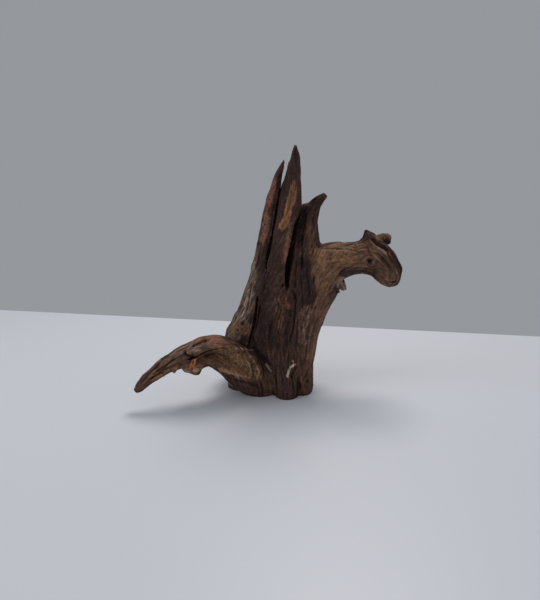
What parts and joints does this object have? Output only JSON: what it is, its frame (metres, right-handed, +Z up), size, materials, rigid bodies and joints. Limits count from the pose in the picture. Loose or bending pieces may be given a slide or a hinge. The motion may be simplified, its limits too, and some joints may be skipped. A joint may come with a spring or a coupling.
{
  "type": "dry root",
  "caption": "Dry weathered root with tall split spikes, a stout side branch ending in a bent broken head, and a low arching arm; stands on its flat sawn foot.",
  "frame": {"origin": "on the sawn flat foot, under the middle of the trunk", "axes": "+Z up along the spikes, +X towards the side branch, -Y towards the side that the low arm leaves from"},
  "size_m": [0.3338, 0.1195, 0.3139],
  "materials": {
    "dry_wood": "weathered, dry, matt"
  },
  "bodies": {
    "root": {"dry_root": "dry_wood"}
  },
  "joints": []
}
